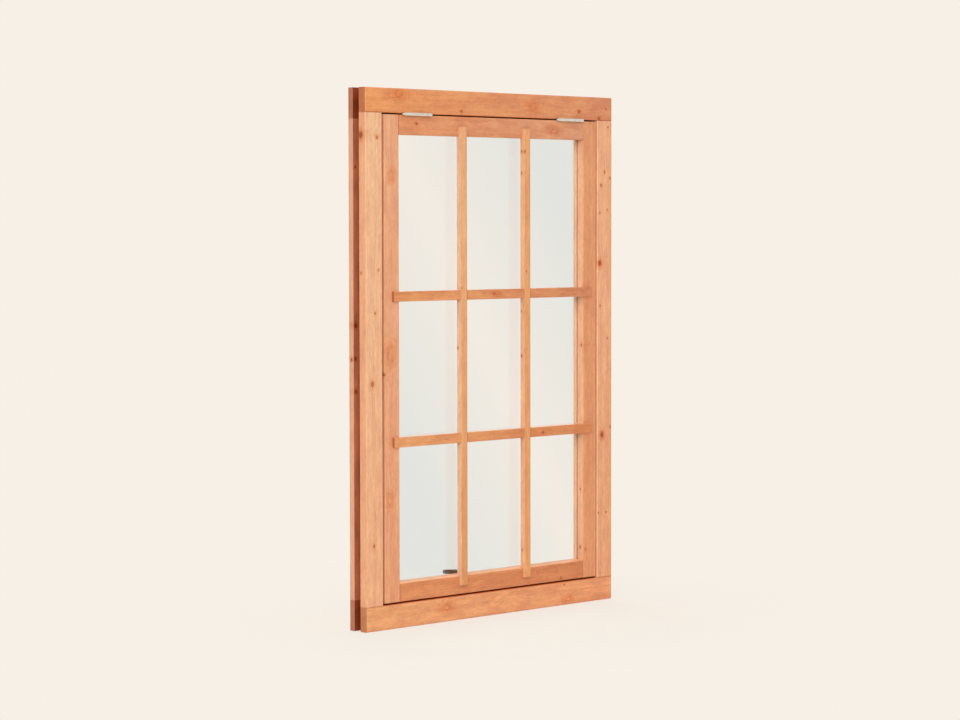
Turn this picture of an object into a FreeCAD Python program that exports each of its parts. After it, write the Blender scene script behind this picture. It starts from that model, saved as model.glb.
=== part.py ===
"""Top hung awning window of planed softwood, in millimetres.

A fixed frame of three layers of boards holds a sash that hangs from two butt hinges at its top edge.
The outer and inner boards stand past the core, which leaves a groove round the edge for the wall boards.

Axes: +X to the right seen from outside, +Y inwards, +Z up.
Origin: middle of the floor of the sill's groove, where the window stands on the wall board.
"""
import FreeCAD, Part
import os
import Sketcher

# Driving dimensions: alias, millimetres, what it is
DIMENSIONS = [
    ("outer_width", 790, "overall width of the frame"),
    ("outer_height", 1180, "overall height of the frame"),
    ("outer_board_thickness", 20, "front layer"),
    ("outer_rail_width", 54, "face of the outer head and sill boards"),
    ("outer_stile_width", 50, "face of the outer side boards"),
    ("groove_width", 19, "thickness of the wall boards that the groove takes"),
    ("groove_depth", 25, "how far the wall boards enter"),
    ("inner_board_thickness", 16, "back layer"),
    ("stop_lap", 13, "how far the inner boards stand past the outer ones, as the sash's stop"),
    ("arris_radius", 3, "eased edges of the frame boards"),
    ("sash_arris_radius", 1.5, "eased edges of the sash and its bars"),
    ("sash_thickness", 38, "front face to inside face"),
    ("sash_side_gap", 5.5, "between sash and side boards"),
    ("sash_top_gap", 3.2, "between sash and head, holds the hinge leaves"),
    ("sash_bottom_gap", 4.2, "between sash and sill"),
    ("sash_stile_width", 44, "face of the sash stiles"),
    ("top_rail_width", 43, "face of the sash top rail"),
    ("bottom_rail_width", 43, "height of the sash bottom rail at the glass"),
    ("weathering_drop", 3, "fall of the bottom rail's top edge from glass to face"),
    ("glass_setback", 18, "sash face to glass"),
    ("glass_thickness", 4, "single sheet"),
    ("glass_edge_clearance", 2, "between the sheet's edge and the rebate"),
    ("rebate_width", 10, "glass rebate, measured from the sight line"),
    ("bead_flat", 6, "straight part of a bead's sight edge before its bevel"),
    ("bead_bevel", 6, "how far the bevel cuts back the bead's inside edge"),
    ("bar_thickness", 13, "front to back"),
    ("bar_let_in", 6.5, "depth of the housings in the sash face"),
    ("bar_lap", 21.5, "how far a bar's end lies on the stiles and the top rail"),
    ("bar_foot_lap", 24, "how far an upright bar's foot lies on the bottom rail"),
    ("upright_bar_width", 20, "face of the upright bars"),
    ("cross_bar_width", 22, "face of the cross bars"),
    ("lower_pane_height", 296.5, "clear height of the bottom and middle panes"),
    ("hinge_length", 76, "butt hinge's barrel, along its pin"),
    ("hinge_leaf_depth", 30, "leaf, from the frame's face inwards"),
    ("hinge_leaf_thickness", 1.5, "sheet of the leaves"),
    ("hinge_inset", 106, "frame edge to the near end of a hinge, its tip included"),
    ("knuckle_diameter", 8, "rolled barrel"),
    ("knuckle_count", 5, "knuckles along one hinge"),
    ("knuckle_clearance", 0.4, "between knuckles, and between barrel and boards"),
    ("hinge_pin_diameter", 4, "pin"),
    ("hinge_pin_clearance", 0.1, "all round the pin"),
    ("pin_tip_length", 12, "pointed tip at the pin's left end"),
    ("pin_tip_shoulder", 3, "straight part of the tip, next to the barrel"),
    ("pin_tip_end", 2.5, "diameter of the tip at its point"),
    ("latch_plate_length", 58, "foot of the latch, along the rail"),
    ("latch_plate_height", 20, "foot of the latch, up the rail"),
    ("latch_plate_thickness", 3, "foot of the latch"),
    ("latch_plate_corner", 5, "rounded corners of foot and keep"),
    ("latch_plate_rise", 13, "top of the inner sill to the middle of the foot"),
    ("latch_post_diameter", 14, "spindle housing"),
    ("latch_post_length", 15, "from the foot to the lever's sleeve"),
    ("lever_sleeve_diameter", 18, "turning sleeve that carries arm and spur"),
    ("lever_sleeve_length", 26, "along the spindle"),
    ("lever_length", 87, "spindle to the lever's tip"),
    ("lever_thickness", 8, "arm, front to back"),
    ("lever_root_height", 14, "arm at the sleeve"),
    ("lever_knee_reach", 36, "spindle to the bend in the arm"),
    ("lever_knee_rise", 15, "how far the bend stands above the spindle"),
    ("lever_knee_height", 11, "arm at its bend"),
    ("lever_rise", 19.5, "how far the tip stands above the spindle"),
    ("lever_tip_height", 9.6, "arm at its tip"),
    ("lever_tip_radius", 4, "rounded corners of the tip"),
    ("lever_edge_radius", 1.5, "smoothed long edges of the arm"),
    ("spur_width", 12, "nose that closes over the keep"),
    ("spur_drop", 30, "spindle to the nose's lower end"),
    ("spur_thickness", 6, "front to back"),
    ("spur_clearance", 0.3, "between the nose and the keep"),
    ("keep_length", 44, "keep plate, along the inner sill"),
    ("keep_height", 24, "keep plate, up the inner sill"),
    ("keep_thickness", 2, "keep plate"),
    ("keep_drop", 4, "top of the inner sill to the keep's upper edge"),
]

doc = FreeCAD.newDocument("awning_window")
sheet = doc.addObject("Spreadsheet::Sheet", "dim")
for row, (alias, value, words) in enumerate(DIMENSIONS, start=1):
    sheet.set(f"A{row}", words)
    sheet.set(f"B{row}", str(value))
    sheet.setAlias(f"B{row}", alias)
doc.recompute()

# Places worked out from the driving dimensions, as expressions on the sheet
HALF_WIDTH = "dim.outer_width / 2"
BASE = "-dim.groove_depth"
TOP = f"({BASE} + dim.outer_height)"
FRONT = "(-dim.groove_width / 2 - dim.outer_board_thickness)"
GROOVE_FRONT = "(-dim.groove_width / 2)"
GROOVE_BACK = "(dim.groove_width / 2)"
BACK = f"({GROOVE_BACK} + dim.inner_board_thickness)"
INNER_RAIL_WIDTH = "(dim.outer_rail_width + dim.stop_lap)"
INNER_STILE_WIDTH = "(dim.outer_stile_width + dim.stop_lap)"

SASH_HALF_WIDTH = f"({HALF_WIDTH} - dim.outer_stile_width - dim.sash_side_gap)"
SASH_BOTTOM = f"({BASE} + dim.outer_rail_width + dim.sash_bottom_gap)"
SASH_TOP = f"({TOP} - dim.outer_rail_width - dim.sash_top_gap)"
SASH_BACK = f"({FRONT} + dim.sash_thickness)"
GLASS_FRONT = f"({FRONT} + dim.glass_setback)"
GLASS_BACK = f"({GLASS_FRONT} + dim.glass_thickness)"

SIGHT_HALF_WIDTH = f"({SASH_HALF_WIDTH} - dim.sash_stile_width)"
SIGHT_BOTTOM = f"({SASH_BOTTOM} + dim.bottom_rail_width)"
SIGHT_TOP = f"({SASH_TOP} - dim.top_rail_width)"
REBATE_HALF_WIDTH = f"({SIGHT_HALF_WIDTH} + dim.rebate_width)"
REBATE_BOTTOM = f"({SIGHT_BOTTOM} - dim.rebate_width)"
REBATE_TOP = f"({SIGHT_TOP} + dim.rebate_width)"

# Three equal panes across, so a bar's middle is half a clear pane and half a bar from the window's middle
UPRIGHT_OFFSET = f"(({SIGHT_HALF_WIDTH} * 2 + dim.upright_bar_width) / 6)"
LOWER_CROSS = f"({SIGHT_BOTTOM} + dim.lower_pane_height + dim.cross_bar_width / 2)"
UPPER_CROSS = f"({LOWER_CROSS} + dim.lower_pane_height + dim.cross_bar_width)"
BAR_FRONT = f"({FRONT} + dim.bar_let_in - dim.bar_thickness)"
BAR_BACK = f"({FRONT} + dim.bar_let_in)"
BAR_MIDDLE = f"({FRONT} + dim.bar_let_in - dim.bar_thickness / 2)"
BAR_BOTTOM = f"({SIGHT_BOTTOM} - dim.bar_foot_lap)"
BAR_TOP = f"({SIGHT_TOP} + dim.bar_lap)"
BAR_HALF_SPAN = f"({SIGHT_HALF_WIDTH} + dim.bar_lap)"

# Directions of a sketch: its plane, and the way that a pad grows out of it
ALONG_X = "YZ_Plane"
ALONG_Z = "XY_Plane"
ALONG_MINUS_Y = "XZ_Plane"

parts = []


def bind(thing, **expressions):
    """Ties properties of one object to expressions on the sheet."""
    for prop, expression in expressions.items():
        thing.setExpression(prop.replace("__", "."), str(expression))


def place(thing, x="0", y="0", z="0"):
    bind(thing, Placement__Base__x=x, Placement__Base__y=y, Placement__Base__z=z)


def new_body(label):
    body = doc.addObject("PartDesign::Body", label)
    body.Label = label
    parts.append(body)
    return body


def outline(body, plane_role, corners):
    """Closed sketch whose corners are pairs of expressions, each tied to the sheet."""
    sketch = body.newObject("Sketcher::SketchObject", f"{body.Name}_outline")
    plane = next(f for f in body.Origin.OriginFeatures if f.Role == plane_role)
    sketch.AttachmentSupport = [(plane, "")]
    sketch.MapMode = "FlatFace"
    points = [FreeCAD.Vector(*(float(sheet.evalExpression(e)) for e in corner), 0) for corner in corners]
    for number, point in enumerate(points):
        sketch.addGeometry(Part.LineSegment(point, points[(number + 1) % len(points)]))
    for number, (u, v) in enumerate(corners):
        line_before = (number or len(corners)) - 1
        sketch.addConstraint(Sketcher.Constraint("Coincident", line_before, 2, number, 1))
        point = points[number]
        for kind, expression, value in (("DistanceX", u, point.x), ("DistanceY", v, point.y)):
            index = sketch.addConstraint(Sketcher.Constraint(kind, -1, 1, number, 1, value))
            sketch.setExpression(f"Constraints[{index}]", expression)
    return sketch


def pad(body, plane_role, corners, length, middle=False):
    """Straight member: an outline drawn in place and drawn out to a length."""
    feature = body.newObject("PartDesign::Pad", f"{body.Name}_pad")
    feature.Profile = outline(body, plane_role, corners)
    feature.Midplane = middle
    bind(feature, Length=length)
    return feature


def cut_box(body, name, x, y, z, length, width, height):
    """Housing or rebate: a box taken out of a body."""
    cut = body.newObject("PartDesign::SubtractiveBox", f"{body.Name}_{name}")
    bind(cut, Length=length, Width=width, Height=height)
    place(cut, x, y, z)
    return cut


def rectangle(u_low, u_high, v_low, v_high):
    return [(u_low, v_low), (u_high, v_low), (u_high, v_high), (u_low, v_high)]


def ease(body, radius, keep_edge):
    """Rounds the edges for which keep_edge is true, as a plane and sandpaper leave them."""
    doc.recompute()
    tip = body.Tip
    names = [f"Edge{n}" for n, edge in enumerate(tip.Shape.Edges, start=1) if keep_edge(edge)]
    fillet = body.newObject("PartDesign::Fillet", f"{body.Name}_eased")
    fillet.Base = (tip, names)
    bind(fillet, Radius=radius)


def runs_along(edge, axis):
    ends = [getattr(vertex.Point, axis) for vertex in edge.Vertexes]
    return len(ends) == 2 and abs(abs(ends[0] - ends[1]) - edge.Length) < 1e-6


def edge_at(edge, axis, expression):
    """True where the whole edge lies at this coordinate."""
    wanted = float(sheet.evalExpression(expression))
    return all(abs(getattr(vertex.Point, axis) - wanted) < 1e-6 for vertex in edge.Vertexes)


def arrises(along, y):
    """Picks the edges that run along an axis in the face at this depth."""
    return lambda edge: runs_along(edge, along) and edge_at(edge, "y", y)


def frame_layer(layer, y_low, y_high, rail_width, stile_width, edge_in, show_face):
    """Head, sill and two sides of one layer of the frame; head and sill run through."""
    depth = f"({y_high}) - ({y_low})"
    half = f"({HALF_WIDTH} - {edge_in})"
    low = f"({BASE} + {edge_in})"
    high = f"({TOP} - {edge_in})"
    names = {
        "outer": ("outer_head_board", "outer_sill_board", "outer_left_board", "outer_right_board"),
        "inner": ("inner_head_board", "inner_sill_board", "inner_left_board", "inner_right_board"),
        "core": ("core_head", "core_sill", "core_left_jamb", "core_right_jamb"),
    }[layer]
    rails = ((names[0], f"{high} - {rail_width}"), (names[1], low))
    for name, z in rails:
        body = new_body(name)
        pad(body, ALONG_X, rectangle("0", depth, "0", rail_width), f"{half} * 2", middle=True)
        if show_face is not None:
            ease(body, "dim.arris_radius", lambda edge: edge_at(edge, "y", show_face))
        place(body, "0", y_low, z)
    for name, x in ((names[2], f"-{half}"), (names[3], f"{half} - {stile_width}")):
        body = new_body(name)
        pad(body, ALONG_Z, rectangle("0", stile_width, "0", depth), f"{high} - {low} - {rail_width} * 2")
        if show_face is not None:
            ease(body, "dim.arris_radius", arrises("z", show_face))
        place(body, x, y_low, f"{low} + {rail_width}")


def frame():
    frame_layer("outer", FRONT, GROOVE_FRONT, "dim.outer_rail_width", "dim.outer_stile_width", "0", "0")
    frame_layer("core", GROOVE_FRONT, GROOVE_BACK, "(dim.outer_rail_width - dim.groove_depth)",
                "(dim.outer_stile_width - dim.groove_depth)", "dim.groove_depth", None)
    frame_layer("inner", GROOVE_BACK, BACK, INNER_RAIL_WIDTH, INNER_STILE_WIDTH, "0",
                "dim.inner_board_thickness")


def sash_stile(name, side):
    """Full height member with a stopped rebate for the glass and housings for the cross bars."""
    body = new_body(name)
    inner_edge = SIGHT_HALF_WIDTH if side > 0 else f"-{SIGHT_HALF_WIDTH}"
    outer_edge = SASH_HALF_WIDTH if side > 0 else f"-{SASH_HALF_WIDTH}"
    left, right = (inner_edge, outer_edge) if side > 0 else (outer_edge, inner_edge)
    pad(body, ALONG_Z, rectangle(left, right, FRONT, SASH_BACK), f"{SASH_TOP} - {SASH_BOTTOM}")
    ease(body, "dim.sash_arris_radius", arrises("z", FRONT))
    rebate_x = SIGHT_HALF_WIDTH if side > 0 else f"-{REBATE_HALF_WIDTH}"
    cut_box(body, "rebate", rebate_x, GLASS_FRONT, f"{REBATE_BOTTOM} - {SASH_BOTTOM}",
            "dim.rebate_width", f"{SASH_BACK} - {GLASS_FRONT}", f"{REBATE_TOP} - {REBATE_BOTTOM}")
    housing_x = SIGHT_HALF_WIDTH if side > 0 else f"-{BAR_HALF_SPAN}"
    for place_name, height in (("lower", LOWER_CROSS), ("upper", UPPER_CROSS)):
        cut_box(body, f"{place_name}_housing", housing_x, FRONT,
                f"{height} - dim.cross_bar_width / 2 - {SASH_BOTTOM}",
                "dim.bar_lap", "dim.bar_let_in", "dim.cross_bar_width")
    place(body, "0", "0", SASH_BOTTOM)


def sash_rail(name, corners, z, housing_z, housing_height):
    """Rail between the stiles: a rebated profile with housings for the upright bars."""
    body = new_body(name)
    pad(body, ALONG_X, corners, f"{SIGHT_HALF_WIDTH} * 2", middle=True)
    ease(body, "dim.sash_arris_radius", arrises("x", FRONT))
    for side, sign in (("left", "-"), ("right", "")):
        cut_box(body, f"{side}_housing", f"{sign}{UPRIGHT_OFFSET} - dim.upright_bar_width / 2", FRONT,
                housing_z, "dim.upright_bar_width", "dim.bar_let_in", housing_height)
    place(body, "0", "0", z)


def sash():
    sash_stile("sash_left_stile", -1)
    sash_stile("sash_right_stile", 1)
    top_profile = [
        (FRONT, "0"), (GLASS_FRONT, "0"), (GLASS_FRONT, "dim.rebate_width"),
        (SASH_BACK, "dim.rebate_width"), (SASH_BACK, "dim.top_rail_width"), (FRONT, "dim.top_rail_width"),
    ]
    sash_rail("sash_top_rail", top_profile, SIGHT_TOP, "0", "dim.bar_lap")
    front_height = "dim.bottom_rail_width - dim.weathering_drop"
    rebate_height = "dim.bottom_rail_width - dim.rebate_width"
    bottom_profile = [
        (FRONT, "0"), (SASH_BACK, "0"), (SASH_BACK, rebate_height), (GLASS_FRONT, rebate_height),
        (GLASS_FRONT, "dim.bottom_rail_width"), (FRONT, front_height),
    ]
    sash_rail("sash_bottom_rail", bottom_profile, SASH_BOTTOM, "dim.bottom_rail_width - dim.bar_foot_lap",
              "dim.bar_foot_lap")


def upright_bar(name, sign):
    """Bar whose face runs through; its back is notched over the cross bars."""
    body = new_body(name)
    half_width = "dim.upright_bar_width / 2"
    corners = rectangle(f"-{half_width}", half_width, BAR_FRONT, BAR_BACK)
    pad(body, ALONG_Z, corners, f"{BAR_TOP} - {BAR_BOTTOM}")
    ease(body, "dim.sash_arris_radius", arrises("z", BAR_FRONT))
    for crossing, height in (("lower", LOWER_CROSS), ("upper", UPPER_CROSS)):
        cut_box(body, f"{crossing}_notch", f"-{half_width}", BAR_MIDDLE,
                f"{height} - dim.cross_bar_width / 2 - {BAR_BOTTOM}",
                "dim.upright_bar_width", f"{BAR_BACK} - {BAR_MIDDLE}", "dim.cross_bar_width")
    place(body, f"{sign}{UPRIGHT_OFFSET}", "0", BAR_BOTTOM)


def cross_bar(name, height):
    """Bar whose face is notched to take the upright bars."""
    body = new_body(name)
    half_width = "dim.cross_bar_width / 2"
    corners = rectangle(BAR_FRONT, BAR_BACK, f"-{half_width}", half_width)
    pad(body, ALONG_X, corners, f"{BAR_HALF_SPAN} * 2", middle=True)
    ease(body, "dim.sash_arris_radius", arrises("x", BAR_FRONT))
    for side, sign in (("left", "-"), ("right", "")):
        cut_box(body, f"{side}_notch", f"{sign}{UPRIGHT_OFFSET} - dim.upright_bar_width / 2", BAR_FRONT,
                f"-{half_width}", "dim.upright_bar_width", f"{BAR_MIDDLE} - {BAR_FRONT}",
                "dim.cross_bar_width")
    place(body, "0", "0", height)


def glazing_bars():
    upright_bar("upright_bar_left", "-")
    upright_bar("upright_bar_right", "")
    cross_bar("cross_bar_lower", LOWER_CROSS)
    cross_bar("cross_bar_upper", UPPER_CROSS)


def glass_pane():
    body = new_body("glass_pane")
    edge_x = f"({REBATE_HALF_WIDTH} - dim.glass_edge_clearance)"
    low = f"({REBATE_BOTTOM} + dim.glass_edge_clearance)"
    high = f"({REBATE_TOP} - dim.glass_edge_clearance)"
    pad(body, ALONG_MINUS_Y, rectangle(f"-{edge_x}", edge_x, low, high), "dim.glass_thickness")
    place(body, "0", GLASS_BACK, "0")


def beads():
    """Strips that hold the glass in its rebate; top and bottom strips run through."""
    depth = f"({SASH_BACK} - {GLASS_BACK})"
    inside_width = "(dim.rebate_width - dim.bead_bevel)"

    def profile(sign):
        """Bead's outline as (away from the rebate's wall, inwards) pairs."""
        return [("0", "0"), (f"{sign}dim.rebate_width", "0"), (f"{sign}dim.rebate_width", "dim.bead_flat"),
                (f"{sign}{inside_width}", depth), ("0", depth)]

    for name, z, sign in (("bead_top", REBATE_TOP, "-"), ("bead_bottom", REBATE_BOTTOM, "")):
        body = new_body(name)
        corners = [(inwards, away) for away, inwards in profile(sign)]
        pad(body, ALONG_X, corners, f"{REBATE_HALF_WIDTH} * 2", middle=True)
        place(body, "0", GLASS_BACK, z)
    for name, x, sign in (("bead_left", f"-{REBATE_HALF_WIDTH}", ""), ("bead_right", REBATE_HALF_WIDTH, "-")):
        body = new_body(name)
        pad(body, ALONG_Z, profile(sign), f"{SIGHT_TOP} - {SIGHT_BOTTOM}")
        place(body, x, GLASS_BACK, SIGHT_BOTTOM)


def box(name, x, y, z, length, width, height):
    thing = doc.addObject("Part::Box", name)
    bind(thing, Length=length, Width=width, Height=height)
    place(thing, x, y, z)
    return thing


def cylinder_along_x(name, x, y, z, diameter, length):
    thing = doc.addObject("Part::Cylinder", name)
    thing.Placement.Rotation = FreeCAD.Rotation(FreeCAD.Vector(0, 1, 0), 90)
    bind(thing, Radius=f"({diameter}) / 2", Height=length)
    place(thing, x, y, z)
    return thing


KNUCKLE_Y = f"({FRONT} - dim.knuckle_diameter / 2 - dim.knuckle_clearance)"
KNUCKLE_Z = f"({SASH_TOP} + dim.sash_top_gap / 2)"
LEAF_EDGE_Y = f"({KNUCKLE_Y} + dim.knuckle_diameter / 2 + dim.knuckle_clearance)"
KNUCKLE_PITCH = "((dim.hinge_length + dim.knuckle_clearance) / dim.knuckle_count)"
KNUCKLE_LENGTH = f"({KNUCKLE_PITCH} - dim.knuckle_clearance)"


def hinge_leaf(name, left_end, leaf_z, knuckles):
    """One leaf: a flat plate in the gap, with every other knuckle of the barrel rolled from its edge."""
    plate = box(f"{name}_plate", left_end, LEAF_EDGE_Y, leaf_z, "dim.hinge_length",
                f"{FRONT} + dim.hinge_leaf_depth - {LEAF_EDGE_Y}", "dim.hinge_leaf_thickness")
    pieces = [plate]
    for number in knuckles:
        x = f"{left_end} + {KNUCKLE_PITCH} * {number}"
        pieces.append(cylinder_along_x(f"{name}_knuckle_{number}", x, KNUCKLE_Y, KNUCKLE_Z,
                                       "dim.knuckle_diameter", KNUCKLE_LENGTH))
        pieces.append(box(f"{name}_roll_{number}", x, KNUCKLE_Y, leaf_z, KNUCKLE_LENGTH,
                          f"{LEAF_EDGE_Y} - {KNUCKLE_Y}", "dim.hinge_leaf_thickness"))
    rolled = doc.addObject("Part::MultiFuse", f"{name}_rolled")
    rolled.Shapes = pieces
    bore = cylinder_along_x(f"{name}_bore", left_end, KNUCKLE_Y, KNUCKLE_Z,
                            "dim.hinge_pin_diameter + dim.hinge_pin_clearance * 2", "dim.hinge_length")
    leaf = doc.addObject("Part::Cut", name)
    leaf.Base = rolled
    leaf.Tool = bore
    leaf.Label = name
    parts.append(leaf)


def hinge_pin(name, left_end):
    """Pin turned with a pointed tip that closes the barrel's left end."""
    body = new_body(name)
    pin_radius = "dim.hinge_pin_diameter / 2"
    half_profile = [
        ("dim.hinge_length", "0"), ("dim.hinge_length", pin_radius), ("0", pin_radius),
        ("0", "dim.knuckle_diameter / 2"), ("-dim.pin_tip_shoulder", "dim.knuckle_diameter / 2"),
        ("-dim.pin_tip_length", "dim.pin_tip_end / 2"), ("-dim.pin_tip_length", "0"),
    ]
    turned = body.newObject("PartDesign::Revolution", f"{name}_turned")
    turned.Profile = outline(body, ALONG_MINUS_Y, half_profile)
    turned.ReferenceAxis = (turned.Profile[0], ["H_Axis"])
    turned.Angle = 360
    place(body, left_end, KNUCKLE_Y, KNUCKLE_Z)


def hinges():
    left_ends = {
        "left": f"(-{HALF_WIDTH} + dim.hinge_inset + dim.pin_tip_length)",
        "right": f"({HALF_WIDTH} - dim.hinge_inset - dim.hinge_length)",
    }
    count = int(sheet.knuckle_count)
    for side, left_end in left_ends.items():
        frame_leaf_z = f"{SASH_TOP} + dim.sash_top_gap - dim.hinge_leaf_thickness"
        hinge_leaf(f"hinge_{side}_frame_leaf", left_end, frame_leaf_z, range(0, count, 2))
        hinge_leaf(f"hinge_{side}_sash_leaf", left_end, SASH_TOP, range(1, count, 2))
        hinge_pin(f"hinge_{side}_pin", left_end)


INNER_SILL_TOP = f"({BASE} + {INNER_RAIL_WIDTH})"
SPINDLE_Z = f"({INNER_SILL_TOP} + dim.latch_plate_rise)"
SLEEVE_FRONT = f"({SASH_BACK} + dim.latch_plate_thickness + dim.latch_post_length)"
SPUR_FRONT = f"({BACK} + dim.keep_thickness + dim.spur_clearance)"
TOWARDS_INSIDE = FreeCAD.Rotation(FreeCAD.Vector(1, 0, 0), -90)


def plate_with_round_corners(body, half_length, half_height, thickness):
    corners = rectangle(f"-{half_length}", half_length, f"-{half_height}", half_height)
    pad(body, ALONG_MINUS_Y, corners, thickness)
    ease(body, "dim.latch_plate_corner", lambda edge: runs_along(edge, "y"))


def add_cylinder(body, name, y, diameter, length):
    """Round boss on a body, standing towards the inside."""
    boss = body.newObject("PartDesign::AdditiveCylinder", f"{body.Name}_{name}")
    boss.Placement.Rotation = TOWARDS_INSIDE
    bind(boss, Radius=f"({diameter}) / 2", Height=length)
    place(boss, "0", y, "0")


def latch_base():
    """Foot screwed to the sash's bottom rail, with the spindle's housing."""
    body = new_body("latch_base")
    plate_with_round_corners(body, "dim.latch_plate_length / 2", "dim.latch_plate_height / 2",
                             "dim.latch_plate_thickness")
    add_cylinder(body, "post", "0", "dim.latch_post_diameter", "dim.latch_post_length")
    place(body, "0", f"{SASH_BACK} + dim.latch_plate_thickness", SPINDLE_Z)


def latch_lever():
    """Sleeve on the spindle that carries a bent, tapered arm and the spur that closes over the keep."""
    body = new_body("latch_lever")
    arm_outline = [
        ("0", "-dim.lever_root_height / 2"), ("0", "dim.lever_root_height / 2"),
        ("-dim.lever_knee_reach", "dim.lever_knee_rise + dim.lever_knee_height / 2"),
        ("-dim.lever_length", "dim.lever_rise + dim.lever_tip_height / 2"),
        ("-dim.lever_length", "dim.lever_rise - dim.lever_tip_height / 2"),
        ("-dim.lever_knee_reach", "dim.lever_knee_rise - dim.lever_knee_height / 2"),
    ]
    pad(body, ALONG_MINUS_Y, arm_outline, "dim.lever_thickness")
    ease(body, "dim.lever_tip_radius",
         lambda edge: runs_along(edge, "y") and edge_at(edge, "x", "-dim.lever_length"))
    ease(body, "dim.lever_edge_radius",
         lambda edge: not runs_along(edge, "y") and not edge_at(edge, "x", "0"))
    add_cylinder(body, "sleeve", "-dim.lever_sleeve_length", "dim.lever_sleeve_diameter",
                 "dim.lever_sleeve_length")
    spur = body.newObject("PartDesign::AdditiveBox", "latch_lever_spur")
    bind(spur, Length="dim.spur_width", Width="dim.spur_thickness", Height="dim.spur_drop")
    place(spur, "-dim.spur_width / 2", f"{SPUR_FRONT} - {SLEEVE_FRONT} - dim.lever_sleeve_length",
          "-dim.spur_drop")
    place(body, "0", f"{SLEEVE_FRONT} + dim.lever_sleeve_length", SPINDLE_Z)


def latch_keep():
    """Wear plate on the inner sill, behind the spur."""
    body = new_body("latch_keep")
    plate_with_round_corners(body, "dim.keep_length / 2", "dim.keep_height / 2", "dim.keep_thickness")
    middle_z = f"{INNER_SILL_TOP} - dim.keep_drop - dim.keep_height / 2"
    place(body, "0", f"{BACK} + dim.keep_thickness", middle_z)


frame()
sash()
glazing_bars()
glass_pane()
beads()
hinges()
latch_base()
latch_lever()
latch_keep()
doc.recompute()

failed = [thing.Name for thing in doc.Objects if {"Invalid", "Error"} & set(thing.State)]
for part in parts:
    if part.Shape.isNull() or not part.Shape.isValid():
        failed.append(part.Label)
if failed:
    raise SystemExit(f"not built: {failed}")

os.makedirs("parts", exist_ok=True)
for part in parts:
    part.Shape.exportStep(f"parts/{part.Label}.step")
print(f"{len(parts)} pieces")
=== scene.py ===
# %% [markdown]
# # A top hung awning window of stained spruce
#
# The window comes in as finished joinery: boards, sash, glazing bars, glass, hinges and latch, each a mesh at
# its real size and place. Modelled again by hand, sizes would drift from the drawing, so nothing that was
# loaded is moved or resized. This lesson gives the pieces their finish, adds the small fixings that repeat,
# and sets up a plain studio.

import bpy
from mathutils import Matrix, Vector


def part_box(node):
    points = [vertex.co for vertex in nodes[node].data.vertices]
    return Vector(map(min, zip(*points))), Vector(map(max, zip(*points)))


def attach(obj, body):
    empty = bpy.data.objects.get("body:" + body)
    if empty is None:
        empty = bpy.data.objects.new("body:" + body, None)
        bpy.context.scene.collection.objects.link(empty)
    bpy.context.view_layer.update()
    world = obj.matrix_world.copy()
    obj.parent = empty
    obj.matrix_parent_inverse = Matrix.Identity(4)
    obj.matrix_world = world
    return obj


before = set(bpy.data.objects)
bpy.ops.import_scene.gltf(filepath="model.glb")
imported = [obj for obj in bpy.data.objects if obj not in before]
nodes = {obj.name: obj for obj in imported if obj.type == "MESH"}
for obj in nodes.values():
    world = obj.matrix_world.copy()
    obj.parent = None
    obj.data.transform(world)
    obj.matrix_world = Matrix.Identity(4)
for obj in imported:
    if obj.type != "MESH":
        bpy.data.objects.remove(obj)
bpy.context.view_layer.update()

# %% [markdown]
# ## Units and three helpers
#
# Blender works in metres and in linear light, while a joiner thinks in millimetres and a screen shows sRGB.
# One function turns a hex colour into linear light. Another adds a node with its settings and links in one
# line, so that a material reads as a list of steps instead of a page of wiring. The third starts an empty
# material.

# %% Units, colour and node helpers
import bpy

MM = 0.001


def linear(hex_value):
    """sRGB hex such as "e7a57e" as linear red, green, blue and an alpha of 1."""
    channels = [int(hex_value[i:i + 2], 16) / 255 for i in (0, 2, 4)]
    light = [c / 12.92 if c <= 0.04045 else ((c + 0.055) / 1.055) ** 2.4 for c in channels]
    return (*light, 1.0)


def add(tree, kind, settings=None, **inputs):
    """Adds a node. An input goes by its label (spaces as _) or number (_0), and takes a value or a socket."""
    node = tree.nodes.new(kind)
    for name, value in (settings or {}).items():
        setattr(node, name, value)
    for name, value in inputs.items():
        socket = node.inputs[int(name[1:]) if name[0] == "_" else name.replace("_", " ")]
        if isinstance(value, bpy.types.NodeSocket):
            tree.links.new(value, socket)
        else:
            socket.default_value = value
    return node


def new_material(name):
    """An empty node material and its tree."""
    material = bpy.data.materials.new(name)
    material.use_nodes = True
    material.node_tree.nodes.clear()
    return material, material.node_tree


print("a mid wood tone in linear light:", [round(c, 3) for c in linear("e7a57e")])

# %% [markdown]
# ## The camera
#
# The window is seen from its front left, from a little above its middle, through a long lens. Eyeballing such
# a view never lines up, so the turn, the small downward tilt and the distance were worked out from where the
# edges of the boards meet in the picture. The picture is taken as 960 pixels wide, which turns a focal length
# in pixels into millimetres on a 36 mm sensor.

# %% Camera at the picture's angle
import math

from mathutils import Matrix, Vector

IMAGE_WIDTH = 960
SENSOR_WIDTH = 36.0
FOCAL_PIXELS = 2820.0
TURN = math.radians(45.217)
TILT = math.radians(2.747)
ROLL = math.radians(-0.09)
CAMERA_DISTANCE = 6332 * MM
AIM_ACROSS = -45.8 * MM
AIM_HEIGHT = 580 * MM

scene = bpy.context.scene
front_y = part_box("outer_head_board")[0][1]
base_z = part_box("outer_sill_board")[0][2]
aim = Vector((AIM_ACROSS, front_y, base_z + AIM_HEIGHT))
forward = Vector((math.sin(TURN) * math.cos(TILT), math.cos(TURN) * math.cos(TILT), -math.sin(TILT)))
level_right = Vector((math.cos(TURN), -math.sin(TURN), 0))
level_up = level_right.cross(forward)
camera_right = level_right * math.cos(ROLL) + level_up * math.sin(ROLL)
camera_up = level_up * math.cos(ROLL) - level_right * math.sin(ROLL)

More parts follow.
